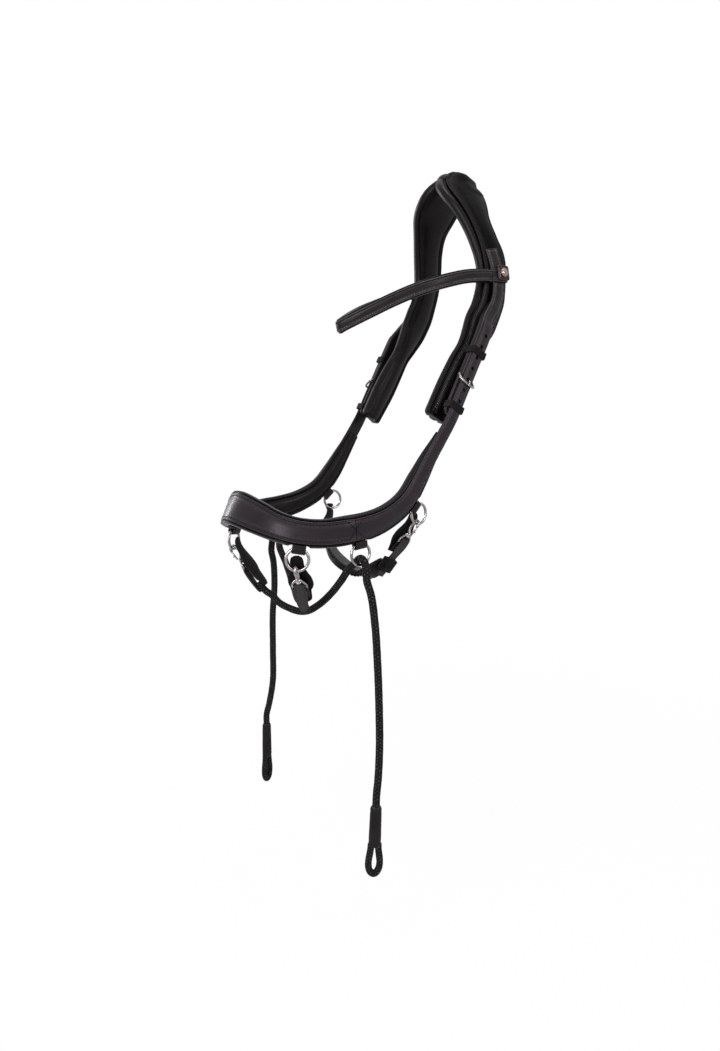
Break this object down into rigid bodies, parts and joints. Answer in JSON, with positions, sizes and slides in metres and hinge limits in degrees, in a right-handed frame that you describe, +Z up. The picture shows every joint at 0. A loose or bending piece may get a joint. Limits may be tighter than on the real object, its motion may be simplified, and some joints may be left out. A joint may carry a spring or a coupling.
{
  "type": "bitless bridle",
  "caption": "crossunder bitless bridle with padded crown, shaped browband, ringed noseband, jaw strap and rein ropes that cross under the jaw",
  "frame": {"origin": "middle of the crown pad's underside, where the bridle rests on the horse's poll", "axes": "+Z is up, the horse faces -Y, and its left (near) side is +X"},
  "size_m": [0.2586, 0.3467, 0.7893],
  "materials": {
    "black_leather": "satin black bridle leather, stitched",
    "soft_lining_leather": "soft black padded leather",
    "matt_tab_leather": "matt flesh side of black leather",
    "braided_rope": "black braided cord with grey flecks",
    "nickel": "bright nickel plate",
    "stud_metal": "rose silver polished dome"
  },
  "bodies": {
    "root": {"browband_leather": "black_leather", "browband_loop_left": "black_leather", "browband_loop_right": "black_leather", "browband_padding": "soft_lining_leather", "cheekpiece_left": "black_leather", "cheekpiece_right": "black_leather", "crown_leather": "black_leather", "crown_pad": "soft_lining_leather", "hanging_strap_left": "black_leather", "hanging_strap_right": "black_leather", "noseband_leather": "black_leather", "noseband_lining": "soft_lining_leather", "ring_tab_back_left": "black_leather", "ring_tab_back_right": "black_leather", "ring_tab_front_left": "black_leather", "ring_tab_front_right": "black_leather", "ring_tab_middle_left": "black_leather", "ring_tab_middle_right": "black_leather", "rope_left": "braided_rope", "rope_loop_left": "braided_rope", "rope_loop_right": "braided_rope", "rope_right": "braided_rope", "rope_sleeve_left": "black_leather", "rope_sleeve_right": "black_leather", "stud_dome_left": "stud_metal", "stud_dome_right": "stud_metal", "stud_plate_left": "black_leather", "stud_plate_right": "black_leather"},
    "ring_front_left": {"ring_front_left": "nickel"},
    "ring_middle_left": {"ring_middle_left": "nickel"},
    "ring_back_left": {"ring_back_left": "nickel"},
    "snap_front_left": {"snap_front_left": "nickel", "snap_safe_front_left": "black_leather", "snap_tab_front_left": "matt_tab_leather"},
    "gate_front_left": {"snap_gate_front_left": "nickel"},
    "buckle_frame_left": {"buckle_frame_left": "nickel"},
    "buckle_tongue_left": {"buckle_tongue_left": "nickel"},
    "keeper_upper_left": {"keeper_upper_left": "black_leather"},
    "keeper_lower_left": {"keeper_lower_left": "black_leather"},
    "ring_front_right": {"ring_front_right": "nickel"},
    "ring_middle_right": {"ring_middle_right": "nickel"},
    "ring_back_right": {"ring_back_right": "nickel"},
    "snap_front_right": {"snap_front_right": "nickel", "snap_safe_front_right": "black_leather", "snap_tab_front_right": "matt_tab_leather"},
    "gate_front_right": {"snap_gate_front_right": "nickel"},
    "buckle_frame_right": {"buckle_frame_right": "nickel"},
    "buckle_tongue_right": {"buckle_tongue_right": "nickel"},
    "keeper_upper_right": {"keeper_upper_right": "black_leather"},
    "keeper_lower_right": {"keeper_lower_right": "black_leather"},
    "jaw": {"snap_back_left": "nickel", "snap_safe_back_left": "black_leather", "snap_tab_back_left": "matt_tab_leather", "jaw_strap": "black_leather"},
    "gate_back_left": {"snap_gate_back_left": "nickel"}
  },
  "joints": [
    {"name": "ring_front_left_swing", "type": "hinge", "parent": "root", "child": "ring_front_left", "pos_m": [0.07508, -0.27725, -0.41678], "axis": [-0.5672, -0.8095, 0.1517], "range_deg": [-12, 35], "deforming": ["rope_left", "rope_right"]},
    {"name": "ring_middle_left_swing", "type": "hinge", "parent": "root", "child": "ring_middle_left", "pos_m": [0.0944, -0.21518, -0.41518], "axis": [-0.0145, -0.9947, -0.102], "range_deg": [-40, 40], "deforming": ["rope_left", "rope_right"]},
    {"name": "ring_back_left_turn", "type": "hinge", "parent": "root", "child": "ring_back_left", "pos_m": [0.08752, -0.12948, -0.39032], "axis": [0.9916, 0.1291, 0], "continuous": true},
    {"name": "snap_front_left_swing", "type": "hinge", "parent": "ring_front_left", "child": "snap_front_left", "pos_m": [0.07318, -0.27996, -0.43835], "axis": [-0.5672, -0.8095, 0.1517], "range_deg": [-5, 30], "deforming": ["rope_left", "rope_right"]},
    {"name": "gate_front_left_open", "type": "hinge", "parent": "snap_front_left", "child": "gate_front_left", "pos_m": [0.06998, -0.27647, -0.45128], "axis": [-0.6792, -0.7334, -0.0298], "range_deg": [0, 18], "stiffness_Nm_per_rad": 0.01, "springref_deg": -11.46},
    {"name": "buckle_frame_left_turn", "type": "hinge", "parent": "root", "child": "buckle_frame_left", "pos_m": [0.0835, -0.05863, -0.23784], "axis": [0, -0.8827, 0.4699], "range_deg": [0, 4]},
    {"name": "buckle_tongue_left_turn", "type": "hinge", "parent": "buckle_frame_left", "child": "buckle_tongue_left", "pos_m": [0.0835, -0.05863, -0.23784], "axis": [0, -0.8827, 0.4699], "range_deg": [0, 3]},
    {"name": "keeper_upper_left_slide", "type": "slide", "parent": "root", "child": "keeper_upper_left", "axis": [0, -0.4699, -0.8827], "range_m": [-0.007, 0.01]},
    {"name": "keeper_lower_left_slide", "type": "slide", "parent": "root", "child": "keeper_lower_left", "axis": [0, -0.4699, -0.8827], "range_m": [-0.005, 0.004]},
    {"name": "ring_front_right_swing", "type": "hinge", "parent": "root", "child": "ring_front_right", "pos_m": [-0.07508, -0.27725, -0.41678], "axis": [-0.5672, 0.8095, -0.1517], "range_deg": [-12, 35], "deforming": ["rope_left", "rope_right"]},
    {"name": "ring_middle_right_swing", "type": "hinge", "parent": "root", "child": "ring_middle_right", "pos_m": [-0.0944, -0.21518, -0.41518], "axis": [-0.0145, 0.9947, 0.102], "range_deg": [-40, 40], "deforming": ["rope_left", "rope_right"]},
    {"name": "ring_back_right_turn", "type": "hinge", "parent": "root", "child": "ring_back_right", "pos_m": [-0.08752, -0.12948, -0.39032], "axis": [-0.9916, 0.1291, 0], "continuous": true},
    {"name": "snap_front_right_swing", "type": "hinge", "parent": "ring_front_right", "child": "snap_front_right", "pos_m": [-0.07318, -0.27996, -0.43835], "axis": [-0.5672, 0.8095, -0.1517], "range_deg": [-5, 30], "deforming": ["rope_left", "rope_right"]},
    {"name": "gate_front_right_open", "type": "hinge", "parent": "snap_front_right", "child": "gate_front_right", "pos_m": [-0.06998, -0.27647, -0.45128], "axis": [-0.6792, 0.7334, 0.0298], "range_deg": [0, 18], "stiffness_Nm_per_rad": 0.01, "springref_deg": -11.46},
    {"name": "buckle_frame_right_turn", "type": "hinge", "parent": "root", "child": "buckle_frame_right", "pos_m": [-0.0835, -0.05863, -0.23784], "axis": [0, 0.8827, -0.4699], "range_deg": [0, 4]},
    {"name": "buckle_tongue_right_turn", "type": "hinge", "parent": "buckle_frame_right", "child": "buckle_tongue_right", "pos_m": [-0.0835, -0.05863, -0.23784], "axis": [0, 0.8827, -0.4699], "range_deg": [0, 3]},
    {"name": "keeper_upper_right_slide", "type": "slide", "parent": "root", "child": "keeper_upper_right", "axis": [0, -0.4699, -0.8827], "range_m": [-0.007, 0.01]},
    {"name": "keeper_lower_right_slide", "type": "slide", "parent": "root", "child": "keeper_lower_right", "axis": [0, -0.4699, -0.8827], "range_m": [-0.005, 0.004]},
    {"name": "jaw_swing", "type": "hinge", "parent": "root", "child": "jaw", "pos_m": [0, -0.12948, -0.39032], "axis": [1, 0, 0], "range_deg": [-14, 14]},
    {"name": "gate_back_left_open", "type": "hinge", "parent": "jaw", "child": "gate_back_left", "pos_m": [0.08592, -0.13845, -0.41385], "axis": [-0.1211, 0.9302, -0.3464], "range_deg": [0, 18], "stiffness_Nm_per_rad": 0.01, "springref_deg": -11.46}
  ]
}
